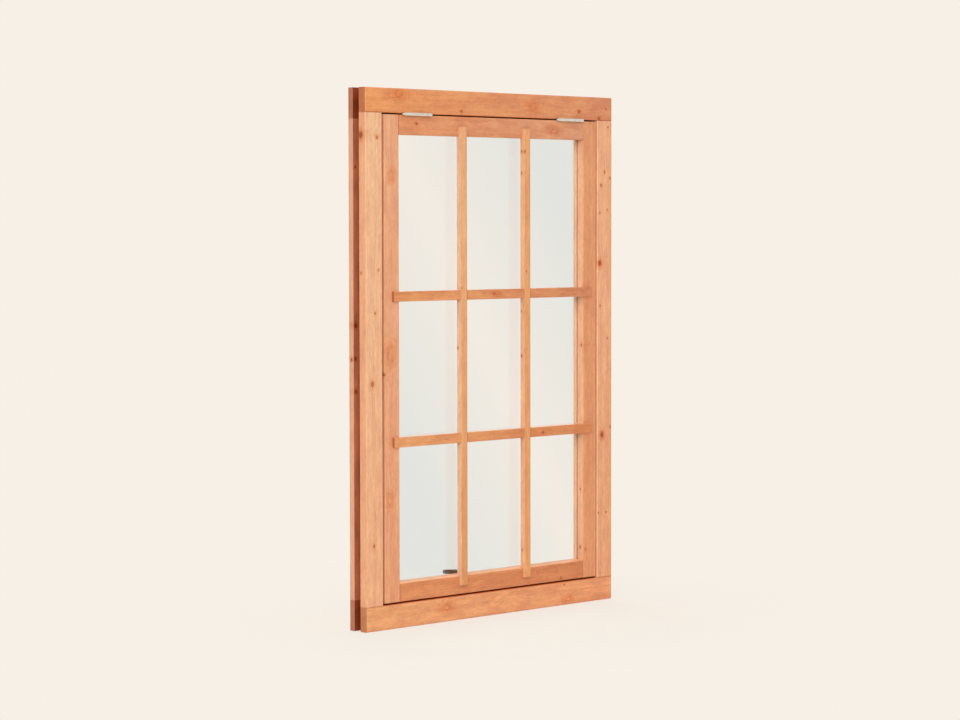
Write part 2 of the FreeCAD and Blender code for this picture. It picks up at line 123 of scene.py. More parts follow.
camera_data = bpy.data.cameras.new("camera")
camera_data.sensor_fit = "HORIZONTAL"
camera_data.sensor_width = SENSOR_WIDTH
camera_data.lens = FOCAL_PIXELS / IMAGE_WIDTH * SENSOR_WIDTH
camera = bpy.data.objects.new("camera", camera_data)
scene.collection.objects.link(camera)
camera_place = Matrix((camera_right, camera_up, -forward)).transposed().to_4x4()
camera_place.translation = aim - forward * CAMERA_DISTANCE
camera.matrix_world = camera_place
scene.camera = camera
print("lens", round(camera_data.lens, 2), "mm, camera at", [round(v, 3) for v in camera_place.translation])

# %% [markdown]
# ## The studio: a painted reflection behind the panes
#
# Through the panes a soft warm band of light leans between cooler shade: a painted reflection of the glass,
# drawn on the world behind it, where only rays through the glass see it. A mesh would need a lamp of its own,
# which would reach the window too. Drawn on the world, the band lights nothing. How far a line of sight lies
# from the band's middle is counted in panes, and a colour ramp turns that into a tone.

# %% Painted reflection behind the panes
CREAM = linear("f7f0e6")
# painted reflection: the warm band and the cooler shade beside it stand in for what the glass reflects
BAND_LIGHT = linear("fdf2e9")
BAND_SHADE = linear("eceae6")
# one pane's step in the picture, across and down; the values after it are counted in panes
PANE_PIXELS = (62, 140)
BAND_MIDDLE = 0.206
SHADE_FROM = 2.1
SHADE_TO = 2.9
SHADE_ENDS = 4.5

scene.view_settings.view_transform = "Standard"
world = bpy.data.worlds.new("studio")
scene.world = world
world.use_nodes = True
tree = world.node_tree
tree.nodes.clear()
sight = add(tree, "ShaderNodeTexCoord").outputs["Generated"]

# the band leans, so it crosses one pane's width while it falls by one pane's height
lean = level_right * (FOCAL_PIXELS / PANE_PIXELS[0]) + level_up * (FOCAL_PIXELS / PANE_PIXELS[1])
panes_off = add(tree, "ShaderNodeVectorMath", {"operation": "DOT_PRODUCT"}, _0=sight, _1=lean)
panes_off = add(tree, "ShaderNodeMath", {"operation": "SUBTRACT"}, _0=panes_off.outputs["Value"],
                _1=BAND_MIDDLE)
panes_off = add(tree, "ShaderNodeMath", {"operation": "ABSOLUTE"}, _0=panes_off.outputs[0])
band = add(tree, "ShaderNodeMath", {"operation": "DIVIDE"}, _0=panes_off.outputs[0], _1=SHADE_ENDS)
painted_reflection_band = add(tree, "ShaderNodeValToRGB", Fac=band.outputs[0])
stops = painted_reflection_band.color_ramp.elements
stops[0].color = BAND_LIGHT
stops[1].color = CREAM
stops.new(SHADE_FROM / SHADE_ENDS).color = BAND_SHADE
stops.new(SHADE_TO / SHADE_ENDS).color = BAND_SHADE
print("the back wall changes tone at", [round(stop.position * SHADE_ENDS, 2) for stop in stops], "panes")

# %% [markdown]
# ## The studio: what is seen and what gives light
#
# The picture shows one even cream with no horizon. Lamps strong enough to wash a room out would wash out the
# window too. So the cream is only what some rays see: those from the camera, off metal and through glass. All
# other rays get plain white light. World and floor both need that choice, so a helper makes it.

# %% World
WHITE = (1, 1, 1, 1)
WORLD_LIGHT = 0.62
BLEND = {"data_type": "RGBA"}


def seen_rays(tree, path):
    """1 for rays from the camera, off metal and through glass, by a Light Path's outputs."""
    seen = add(tree, "ShaderNodeMath", {"operation": "MAXIMUM"}, _0=path["Is Camera Ray"],
               _1=path["Is Transmission Ray"])
    seen = add(tree, "ShaderNodeMath", {"operation": "MAXIMUM"}, _0=seen.outputs[0], _1=path["Is Glossy Ray"])
    return seen.outputs[0]


path = add(tree, "ShaderNodeLightPath").outputs
# the painted reflection shows only to rays that come through the glass towards the far side
far_side = add(tree, "ShaderNodeVectorMath", {"operation": "DOT_PRODUCT"}, _0=sight, _1=forward)
sees_painted_reflection = add(tree, "ShaderNodeMath", {"operation": "MULTIPLY", "use_clamp": True},
              _0=far_side.outputs["Value"], _1=path["Is Transmission Ray"])
# a Mix node takes its two colours at inputs 6 and 7, and gives the mixed one at output 2
ground = add(tree, "ShaderNodeMix", BLEND, Factor=sees_painted_reflection.outputs[0], _6=CREAM, _7=painted_reflection_band.outputs[0])
white = add(tree, "ShaderNodeBackground", Color=WHITE, Strength=WORLD_LIGHT)
cream = add(tree, "ShaderNodeBackground", Color=ground.outputs[2], Strength=1.0)
either = add(tree, "ShaderNodeMixShader", Fac=seen_rays(tree, path), _1=white.outputs[0], _2=cream.outputs[0])
add(tree, "ShaderNodeOutputWorld", Surface=either.outputs[0])
print("world gives", WORLD_LIGHT, "of white light and shows cream")

# %% [markdown]
# ## The floor
#
# The window stands on a plain cream floor. A solid one would end in an edge, which the picture doesn't have.
# So near the window a share of it is matt paint, which takes the window's shadow, and further out it fades
# until the cream behind it shows. Light that bounces still meets solid paint.

# %% Floor
FLOOR_RADIUS = 1.7
FLOOR_SIDES = 96
SHADOW_SHARE = 0.26
FADE_FROM = 0.2
FADE_TO = 1.1
SMOOTH = {"interpolation_type": "SMOOTHSTEP"}

bpy.ops.mesh.primitive_circle_add(vertices=FLOOR_SIDES, radius=FLOOR_RADIUS, fill_type="NGON",
                                  location=(0, 0, base_z))
floor = bpy.context.object
floor.name = "studio_floor"
# matt floor paint gives the eye one tone from every side, with no shine
floor_paint, tree = new_material("studio_floor_paint")
path = add(tree, "ShaderNodeLightPath").outputs
where = add(tree, "ShaderNodeTexCoord").outputs
away = add(tree, "ShaderNodeVectorMath", {"operation": "LENGTH"}, _0=where["Object"])
see_through = add(tree, "ShaderNodeMapRange", SMOOTH, Value=away.outputs["Value"], From_Min=FADE_FROM,
                  From_Max=FADE_TO, To_Min=1 - SHADOW_SHARE, To_Max=1.0)
share = add(tree, "ShaderNodeMath", {"operation": "MULTIPLY"}, _0=seen_rays(tree, path),
            _1=see_through.outputs[0])
matt = add(tree, "ShaderNodeBsdfDiffuse", Color=CREAM)
faded = add(tree, "ShaderNodeBsdfTransparent")
either = add(tree, "ShaderNodeMixShader", Fac=share.outputs[0], _1=matt.outputs[0], _2=faded.outputs[0])
add(tree, "ShaderNodeOutputMaterial", Surface=either.outputs[0])
floor.data.materials.append(floor_paint)
print("floor at", round(base_z, 4), "m, faded out by", FADE_TO, "m")

# %% [markdown]
# ## Lamps
#
# The light is soft and comes from the left, a little in front and above: faces turned left are as bright as
# the front. A sun lamp would draw hard edges, and one large square lamp doesn't. A weaker one behind keeps
# the room side readable. Their power is set so that a board facing the viewer renders about as bright as its
# colour is written.

# %% Lamps
LAMPS = {
    "left_lamp": dict(place=(-5.6, -4.6, 3.8), size=4.4, watts=310),
    "room_lamp": dict(place=(2.2, 3.2, 2.4), size=2.6, watts=60),
}
LIT_HEIGHT = 590 * MM

for lamp_name, lamp in LAMPS.items():
    lamp_data = bpy.data.lights.new(lamp_name, "AREA")
    lamp_data.shape = "SQUARE"
    lamp_data.size = lamp["size"]
    lamp_data.energy = lamp["watts"]
    lamp_object = bpy.data.objects.new(lamp_name, lamp_data)
    scene.collection.objects.link(lamp_object)
    lamp_object.location = lamp["place"]
    towards = Vector((0, 0, base_z + LIT_HEIGHT)) - Vector(lamp["place"])
    lamp_object.rotation_euler = towards.to_track_quat("-Z", "Y").to_euler()
    print(lamp_name, "is", round(towards.length, 2), "m away")

# %% [markdown]
# ## Stained spruce: how a board lies in its tree
#
# The boards are planed spruce with a reddish preservative stain. What tells wood from paint is that faces,
# edges and ends agree: growth rings are cylinders round the heart of the tree, and a board is a stick cut out
# of them. A picture of wood on each face could not agree like that. So each board's coordinates are turned to
# run along it, and moved so that the heart, which lies outside the board, becomes the axis.

# %% Grain coordinates


def lie_in_tree(tree, piece_name, along, heart):
    """Coordinates with Z along the board and the heart as axis; heart is in mm from the board's middle."""
    low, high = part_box(piece_name)
    middle = [(a + b) / 2 for a, b in zip(low, high)]
    where = add(tree, "ShaderNodeTexCoord").outputs
    depth = -(middle[1] + heart[1] * MM)
    if along == "x":
        turn, shift = (0, math.radians(-90), 0), (middle[2] + heart[0] * MM, depth, -middle[0])
    else:
        turn, shift = (0, 0, 0), (-(middle[0] + heart[0] * MM), depth, -middle[2])
    grain = add(tree, "ShaderNodeMapping", Vector=where["Object"], Rotation=turn, Location=shift)
    axis = "xyz".index(along)
    return where, grain.outputs[0], (high[axis] - low[axis]) / 2


head_low, head_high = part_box("outer_head_board")
print("the head is a board of", [round((b - a) / MM, 1) for a, b in zip(head_low, head_high)], "mm")

# %% [markdown]
# ## Stained spruce: knots
#
# A knot is a branch that grew through the wood, so it runs right through a board, and the rings swing round
# it. Painting each one would need a texture for each board. Instead the distance to the nearest knot is
# worked out, counted in knot radii, and everything else reads it: the core, the dark rim, the halo and the
# bend of the rings. Where a branch just misses the face, only a pale swirl shows. It is longer and far less
# regular, so its distance is pushed about by a broader noise.

# %% Distance to the nearest knot
FAR_FROM_KNOTS = 9.0
# longer along the grain by stretch; the outline is ragged by so many mm, over so many mm
BRANCH = {"stretch": 1.3, "ragged_by": 2.2, "ragged_over": 7}
SWIRL = {"stretch": 1.9, "ragged_by": 17, "ragged_over": 15}


def knot_distance(tree, where, along, knots, shape=BRANCH):
    """Distance to the nearest knot in radii. A knot is x, y, z, radius in mm and the axis it runs along."""
    ragged = add(tree, "ShaderNodeTexNoise", Vector=where["Object"], Scale=1 / (shape["ragged_over"] * MM),
                 Detail=1.0)
    ragged_by = shape["ragged_by"] * MM
    ragged = add(tree, "ShaderNodeVectorMath", {"operation": "MULTIPLY_ADD"}, _0=ragged.outputs["Color"],
                 _1=[ragged_by] * 3, _2=[-ragged_by / 2] * 3)
    ragged = add(tree, "ShaderNodeVectorMath", {"operation": "ADD"}, _0=where["Object"], _1=ragged.outputs[0])
    nearest = FAR_FROM_KNOTS
    for x, y, z, radius, runs in knots:
        reach = {axis: radius * MM * (shape["stretch"] if axis == along else 1) for axis in "xyz"}
        per_radius = [0 if axis == runs else 1 / reach[axis] for axis in "xyz"]
        offset = add(tree, "ShaderNodeVectorMath", {"operation": "SUBTRACT"}, _0=ragged.outputs[0],
                     _1=(x * MM, y * MM, z * MM))
        offset = add(tree, "ShaderNodeVectorMath", {"operation": "MULTIPLY"}, _0=offset.outputs[0],
                     _1=per_radius)
        offset = add(tree, "ShaderNodeVectorMath", {"operation": "LENGTH"}, _0=offset.outputs[0])
        nearest = add(tree, "ShaderNodeMath", {"operation": "MINIMUM"}, _0=offset.outputs["Value"],
                      _1=nearest).outputs[0]
    return nearest


print("knots are", BRANCH["stretch"], "and swirls", SWIRL["stretch"], "times longer along the grain")

# %% [markdown]
# ## Stained spruce: growth rings
#
# Spruce grown fast has rings 4 to 5 mm apart: pale wood from spring, then a thin darker line from summer.
# Stripes drawn on each face would not meet at the edges. A wave texture in ring mode draws rings round the
# heart, so they become lines on the faces and arcs on the ends. A slow wobble keeps them from looking turned
# on a lathe, and near a knot the wave is pushed on by some rings, which makes them swing round it.

# %% Growth rings
RING_MM = 4.6
WOBBLE_MM = 11
# across and along the grain
WOBBLE_OVER_MM = (120, 380)
RINGS_PUSHED = 2.5
# where rings are pushed fully and where no longer, in radii from the knot's middle
PUSHED_RADII = (0.5, 4.5)
SUMMER_STARTS = 0.25


def growth_rings(tree, grain, nearest_knot):
    """0 in spring wood to 1 in the dark line of summer; nearest_knot is None on a clear board."""
    across, along = (1 / (size * MM) for size in WOBBLE_OVER_MM)
    slow_at = add(tree, "ShaderNodeMapping", Vector=grain, Scale=(across, across, along))
    wobble = add(tree, "ShaderNodeTexNoise", Vector=slow_at.outputs[0], Scale=1.0, Detail=2.0)
    wobble = add(tree, "ShaderNodeVectorMath", {"operation": "SCALE"}, _0=wobble.outputs["Color"],
                 Scale=WOBBLE_MM * MM)
    grown = add(tree, "ShaderNodeVectorMath", {"operation": "ADD"}, _0=grain, _1=wobble.outputs[0])
    push = 0.0
    if nearest_knot is not None:
        push = add(tree, "ShaderNodeMapRange", SMOOTH, Value=nearest_knot, From_Min=PUSHED_RADII[0],
                   From_Max=PUSHED_RADII[1], To_Min=math.tau * RINGS_PUSHED, To_Max=0.0).outputs[0]
    # at scale 1 the wave's rings are a tenth of pi apart
    rings = add(tree, "ShaderNodeTexWave",
                {"wave_type": "RINGS", "rings_direction": "Z", "wave_profile": "SAW"},
                Vector=grown.outputs[0], Scale=math.pi / 10 / (RING_MM * MM), Phase_Offset=push)
    summer = add(tree, "ShaderNodeMapRange", SMOOTH, Value=rings.outputs["Fac"], From_Min=SUMMER_STARTS,
                 From_Max=1.0)
    return summer.outputs[0]


print("rings", RING_MM, "mm apart, wobbling by", WOBBLE_MM, "mm")

# %% [markdown]
# ## Stained spruce: streaks, fibres, threads and drift
#
# Between its rings a planed board shows finer marks, all longer along the grain than across it. Soft streaks
# still show from a few metres, fibres give the surface its bump, and fine threads show only close up. The
# stain itself drifts slowly from deep to thin. Each is one noise, stretched along the grain to a size in
# millimetres, and a seed keeps two boards from having the same streaks.

# %% Marks along the grain
# sizes in mm; real fibres are some hundredths of one wide, and are drawn coarser so that they show from here
# seeded is the direction in which a board's seed moves the noise
GRAIN_MARKS = {
    "streaks": dict(across=6, along=130, detail=5.0, roughness=0.75, seeded=(1, 0, 0)),
    "fibres": dict(across=3, along=11, detail=4.0, roughness=0.6, seeded=(0, 0, 0)),
    "threads": dict(across=0.7, along=42, detail=2.0, roughness=0.5, seeded=(0, 0, 0)),
    "drift": dict(across=22, along=60, detail=4.0, roughness=0.6, seeded=(0, 1, 0)),
}


def grain_marks(tree, grain, seed):
    """Every kind of mark by its name, each a noise from 0 to 1."""
    marks = {}
    for mark, look in GRAIN_MARKS.items():
        per_metre = [1 / (look[way] * MM) for way in ("across", "across", "along")]
        marked_at = add(tree, "ShaderNodeMapping", Vector=grain, Scale=per_metre,
                        Location=[seed * axis for axis in look["seeded"]])
        noise = add(tree, "ShaderNodeTexNoise", Vector=marked_at.outputs[0], Scale=1.0, Detail=look["detail"],
                    Roughness=look["roughness"])
        marks[mark] = noise.outputs["Fac"]
    return marks


print({mark: f"{look['across']} x {look['along']} mm" for mark, look in GRAIN_MARKS.items()})

# %% [markdown]
# ## Stained spruce: the tones of a board
#
# Stain takes unevenly, so a board is seldom one colour from end to end, and its narrow faces often differ
# from its front. One flat colour would look like paint. A tone for each end, with an even run between them,
# is enough, and a third tone is laid on wherever a face points to the side. On two boards the side tone is
# painted light, and on the sill it is painted shade, for faces seen in a gap.

# %% Tones of a board
# facing is 1 where a face is square to a direction, and 0 where it lies along it
SIDE_FACING = {"From_Min": 0.5, "From_Max": 0.9}


def lay_tones(tree, run, half_length, tones, side, side_facing):
    """The colour from the tone of one end to the other, with the side tone on the narrow faces."""
    along_board = add(tree, "ShaderNodeMapRange", Value=run, From_Min=-half_length, From_Max=half_length)
    colour = add(tree, "ShaderNodeMix", BLEND, Factor=along_board.outputs[0], _6=linear(tones[0]),
                 _7=linear(tones[1])).outputs[2]
    if side:
        beside = add(tree, "ShaderNodeMapRange", SMOOTH, Value=side_facing, **SIDE_FACING)
        colour = add(tree, "ShaderNodeMix", BLEND, Factor=beside.outputs[0], _6=colour,
                     _7=linear(side)).outputs[2]
    return colour


print("a narrow face may lean", round(math.degrees(math.acos(SIDE_FACING["From_Max"]))), "degrees")

# %% [markdown]
# ## Stained spruce: the grain in colour
#
# A thin stain lets the grain show through: each mark is a little darker or paler than the wood beside it.
# Fixed colours for the marks would look alike on every board. Multiplying the tone by factors near 1 keeps
# the board's own colour and only shades it.

# %% Grain in colour
MULTIPLY = {"data_type": "RGBA", "blend_type": "MULTIPLY"}
# a noise seldom goes below or above this span
NOISE_SPAN = {"From_Min": 0.3, "From_Max": 0.7}
# the smaller the spread, the harder the change from deep to thin stain
DRIFT_SPREAD = {"x": 0.10, "z": 0.18}
STAIN_DEEP = (0.94, 0.88, 0.88, 1)
STAIN_THIN = (1.05, 1.10, 1.08, 1)
STREAK_DARK = (0.965, 0.91, 0.87, 1)
STREAK_PALE = (1.03, 1.055, 1.07, 1)
SUMMER_WOOD = (0.88, 0.77, 0.66, 1)
SUMMER_SHARE = 0.4
SHADES = {"fibres": {"To_Min": 0.90, "To_Max": 1.09}, "threads": {"To_Min": 0.89, "To_Max": 1.10}}


def shade_grain(tree, colour, along, summer, marks):
    """The colour with drift, streaks, summer wood, fibres and threads in it."""
    spread = DRIFT_SPREAD[along]
    drifted = add(tree, "ShaderNodeMapRange", Value=marks["drift"], From_Min=0.5 - spread,
                  From_Max=0.5 + spread)
    stain = add(tree, "ShaderNodeMix", BLEND, Factor=drifted.outputs[0], _6=STAIN_DEEP, _7=STAIN_THIN)
    colour = add(tree, "ShaderNodeMix", MULTIPLY, Factor=1.0, _6=colour, _7=stain.outputs[2]).outputs[2]
    streaked = add(tree, "ShaderNodeMapRange", Value=marks["streaks"], **NOISE_SPAN)
    streaked = add(tree, "ShaderNodeMix", BLEND, Factor=streaked.outputs[0], _6=STREAK_DARK, _7=STREAK_PALE)
    colour = add(tree, "ShaderNodeMix", MULTIPLY, Factor=1.0, _6=colour, _7=streaked.outputs[2]).outputs[2]
    ringed = add(tree, "ShaderNodeMath", {"operation": "MULTIPLY"}, _0=summer, _1=SUMMER_SHARE)
    colour = add(tree, "ShaderNodeMix", MULTIPLY, Factor=ringed.outputs[0], _6=colour,
                 _7=SUMMER_WOOD).outputs[2]
    for mark, shades in SHADES.items():
        shade = add(tree, "ShaderNodeMapRange", Value=marks[mark], **NOISE_SPAN, **shades)
        colour = add(tree, "ShaderNodeMix", MULTIPLY, Factor=1.0, _6=colour, _7=shade.outputs[0]).outputs[2]
    return colour


print("summer wood keeps", [round(1 - SUMMER_SHARE * (1 - c), 3) for c in SUMMER_WOOD[:3]], "of a tone")

# %% [markdown]
# ## Stained spruce: ends, painted joint shade and painted groove shade
#
# End grain drinks the stain and goes brown. Where an end meets another board, a thin dark line is painted
# shade.
# The faces inside the groove get painted shade, an uneven dark red for the shade deep between the boards.
# Each could be cut out as a mesh with its own material. Reading the direction that a face points in is
# simpler, and then the finish follows the joinery by itself.

# %% Ends, painted joint shade and painted groove shade
END_FACING = {"From_Min": 0.6, "From_Max": 0.95}
END_GRAIN = (0.61, 0.48, 0.46, 1)
# painted shade: a thin dark line on a board's faces next to where it ends against another board
JOINT_SHADE = (0.55, 0.42, 0.36, 1)
JOINT_SHADE_STARTS = 2.2 * MM
JOINT_SHADE_FULL = 0.6 * MM
# painted shade: faces inside the groove are darkened to an uneven red, for the shade deep between the boards
GROOVE_SHADE_FACING = (0.5, 0.9)
GROOVE_SHADE_SPREAD = {"To_Min": 0.7, "To_Max": 1.2}


def brown_ends_and_shade_joints(tree, colour, end_facing, run, half_length, joint_line):
    """The colour with brown end grain, and a dark line of painted shade, of that strength, where a board
    ends.
    """
    end_on = add(tree, "ShaderNodeMapRange", SMOOTH, Value=end_facing, **END_FACING)
    colour = add(tree, "ShaderNodeMix", MULTIPLY, Factor=end_on.outputs[0], _6=colour,
                 _7=END_GRAIN).outputs[2]
    at_joint = add(tree, "ShaderNodeMath", {"operation": "ABSOLUTE"}, _0=run)
    at_joint = add(tree, "ShaderNodeMapRange", SMOOTH, Value=at_joint.outputs[0],
                   From_Min=half_length - JOINT_SHADE_STARTS, From_Max=half_length - JOINT_SHADE_FULL)
    at_joint = add(tree, "ShaderNodeMath", {"operation": "SUBTRACT", "use_clamp": True},
                   _0=at_joint.outputs[0], _1=end_on.outputs[0])
    at_joint = add(tree, "ShaderNodeMath", {"operation": "MULTIPLY"}, _0=at_joint.outputs[0], _1=joint_line)
    return add(tree, "ShaderNodeMix", MULTIPLY, Factor=at_joint.outputs[0], _6=colour, _7=JOINT_SHADE).outputs[2]


def paint_groove_shade(tree, colour, normal, groove_shade_side, groove_shade_tone, drift):
    """The colour with painted groove shade, an uneven dark red, on faces towards +Y or -Y as
    groove_shade_side is 1 or -1.
    """
    faces_groove = add(tree, "ShaderNodeSeparateXYZ", Vector=normal)
    faces_groove = add(tree, "ShaderNodeMapRange", SMOOTH, Value=faces_groove.outputs["Y"],
                       From_Min=GROOVE_SHADE_FACING[0] * groove_shade_side, From_Max=GROOVE_SHADE_FACING[1] * groove_shade_side)
    groove_shade = add(tree, "ShaderNodeMapRange", Value=drift, **NOISE_SPAN, **GROOVE_SHADE_SPREAD)
    groove_shade = add(tree, "ShaderNodeMix", MULTIPLY, Factor=1.0, _6=linear(groove_shade_tone),
                     _7=groove_shade.outputs[0])
    return add(tree, "ShaderNodeMix", BLEND, Factor=faces_groove.outputs[0], _6=colour,
               _7=groove_shade.outputs[2]).outputs[2]


print("end grain keeps", END_GRAIN[:3], "of a board's colour")

# %% [markdown]
# ## Stained spruce: the colour of knots
#
# A sound branch shows a paler middle inside a dark rim. One full of resin is dark red to its middle. A swirl
# is hardly darker than the board. Spots of one colour would look like holes. A colour ramp for each kind,
# read by the distance in radii, gives middle, rim and halo at once, so a new knot needs only a place and a
# radius.

# %% Knots in colour
RINGED_KNOT = ((0, "deb28a"), (0.16, "ca9668"), (0.28, "a86a3c"), (0.37, "ead0ba"), (0.6, "f8e8da"))
RED_KNOT = ((0, "a44a12"), (0.18, "a8541e"), (0.3, "c47c48"), (0.42, "e8c6aa"), (0.65, "f8e6da"))
PALE_KNOT = ((0, "fff8ea"), (0.14, "fff2de"), (0.27, "eccdb4"), (0.38, "f6e0cc"), (0.6, "fbeee2"))
KNOT_REACH = 3.2
KNOT_DEPTH = 0.9


def tint_knots(tree, colour, nearest, tints):
    """The colour with knots of one kind in it; tints run from a knot's middle and fade at its reach."""
    reach = add(tree, "ShaderNodeMath", {"operation": "DIVIDE"}, _0=nearest, _1=KNOT_REACH)
    knotty = add(tree, "ShaderNodeValToRGB", Fac=reach.outputs[0])
    stops = knotty.color_ramp.elements
    for position, tint in tints[1:]:
        stops.new(position).color = linear(tint)
    stops[0].color = linear(tints[0][1])
    stops[-1].color = WHITE
    return add(tree, "ShaderNodeMix", MULTIPLY, Factor=KNOT_DEPTH, _6=colour, _7=knotty.outputs[0]).outputs[2]


print("a knot tints the wood as far as", KNOT_REACH, "of its radii")

# %% [markdown]
# ## Stained spruce: painted highlights on arrises
#
# Arrises are the rounded edges of a board, and a painted highlight makes them paler. A painted mask of edges
# would need an image for each board. On a flat face the normal points along one axis, and on a rounded edge
# along none, so the largest part of the normal tells them apart.

# %% Painted highlights on arrises
ARRIS_FACING = {"From_Min": 0.97, "From_Max": 0.75}
# painted highlight: the rounded edges are made this much paler
HIGHLIGHT_TINT = (1.10, 1.12, 1.16, 1)


def paint_arris_highlights(tree, colour, facing, rubbed):
    """The colour with a painted highlight on its rounded edges, by a share of highlighted."""
    flattest = add(tree, "ShaderNodeMath", {"operation": "MAXIMUM"}, _0=facing["X"], _1=facing["Y"])
    flattest = add(tree, "ShaderNodeMath", {"operation": "MAXIMUM"}, _0=flattest.outputs[0], _1=facing["Z"])
    rounded = add(tree, "ShaderNodeMapRange", SMOOTH, Value=flattest.outputs[0], **ARRIS_FACING,
                  To_Max=rubbed)
    return add(tree, "ShaderNodeMix", MULTIPLY, Factor=rounded.outputs[0], _6=colour, _7=HIGHLIGHT_TINT).outputs[2]


print("a fully rubbed edge is", HIGHLIGHT_TINT[:3], "times as bright")

# %% [markdown]
# ## Stained spruce: the whole finish
#
# A satin stain leaves the wood its own skin: summer wood and fibres stand a little proud, so light breaks up
# on it and no face is glossy. Each board could have its material built by hand. One function that goes
# through all the steps keeps them alike, and takes only what differs from board to board.

# %% The whole finish
SEED_PER_LETTER = 0.37
RINGS_IN_RELIEF = 0.5
RELIEF = {"Strength": 0.22, "Distance": 0.35 * MM}
SATIN = {"To_Min": 0.50, "To_Max": 0.64}
STAIN_IOR = 1.46


def stained_spruce(piece_name, along, tones, heart, side=None, knots=(), red_knots=(), pale_knots=(), groove_shade_side=0,
                   groove_shade_tone=None, joint_line=0.35, rubbed=0.4):
    """One board's finish.

    It has a tone for each end and one for its narrow sides. groove_shade_side is 1 or -1 for painted groove
    shade on the face towards +Y or -Y; joint_line and highlighted, from 0 to 1, set painted joint shade and
    edge highlights.
    """
    # stained spruce gives the eye warm stripes that run with the board, and a soft sheen with no highlight
    material, tree = new_material(f"stained_spruce_{piece_name}")
    where, grain, half_length = lie_in_tree(tree, piece_name, along, heart)
    all_knots = (*knots, *red_knots, *pale_knots)
    nearest = knot_distance(tree, where, along, all_knots) if all_knots else None
    summer = growth_rings(tree, grain, nearest)
    marks = grain_marks(tree, grain, len(piece_name) * SEED_PER_LETTER + heart[1])
    run = add(tree, "ShaderNodeSeparateXYZ", Vector=grain).outputs["Z"]
    facing = add(tree, "ShaderNodeVectorMath", {"operation": "ABSOLUTE"}, _0=where["Normal"])
    facing = add(tree, "ShaderNodeSeparateXYZ", Vector=facing.outputs[0]).outputs
    end_axis, side_axis = ("X", "Z") if along == "x" else ("Z", "X")

    colour = lay_tones(tree, run, half_length, tones, side, facing[side_axis])
    colour = shade_grain(tree, colour, along, summer, marks)
    colour = brown_ends_and_shade_joints(tree, colour, facing[end_axis], run, half_length, joint_line)
    # painted shade on the faces inside the groove
    if groove_shade_side:
        colour = paint_groove_shade(tree, colour, where["Normal"], groove_shade_side, groove_shade_tone, marks["drift"])
    for tints, places, shape in ((RINGED_KNOT, knots, BRANCH), (RED_KNOT, red_knots, BRANCH),
                                 (PALE_KNOT, pale_knots, SWIRL)):
        if places:
            colour = tint_knots(tree, colour, knot_distance(tree, where, along, places, shape), tints)
    # painted highlights on the rounded edges
    colour = paint_arris_highlights(tree, colour, facing, rubbed)

    relief = add(tree, "ShaderNodeMath", {"operation": "MULTIPLY_ADD"}, _0=summer, _1=RINGS_IN_RELIEF,
                 _2=marks["fibres"])
    bump = add(tree, "ShaderNodeBump", Height=relief.outputs[0], **RELIEF)
    rough = add(tree, "ShaderNodeMapRange", Value=marks["fibres"], **NOISE_SPAN, **SATIN)
    skin = add(tree, "ShaderNodeBsdfPrincipled", Base_Color=colour, Roughness=rough.outputs[0],
               Normal=bump.outputs[0], IOR=STAIN_IOR)
    add(tree, "ShaderNodeOutputMaterial", Surface=skin.outputs[0])
    return material


print("satin roughness from", SATIN["To_Min"], "to", SATIN["To_Max"])

# %% [markdown]
# ## The frame's boards
#
# No two boards of a batch match: the left one is pale, the head runs from gold to rose, the right one is pink
# and full of small knots. One material for all would make the frame look cast in one piece. So each board
# gets its own tones, heart and knots, at the places where they show.

# %% Frame boards
# tones of the painted shade on the groove faces, for the outer boards and for each kind of inner board
OUTER_GROOVE_SHADE = dict(groove_shade_side=1, groove_shade_tone="a85c3c")
INNER_RAIL_GROOVE_SHADE = dict(groove_shade_side=-1, groove_shade_tone="96401d")
INNER_SIDE_GROOVE_SHADE = dict(groove_shade_side=-1, groove_shade_tone="cd7753")
CORE_TONES = ("b06c48", "ae6a46")
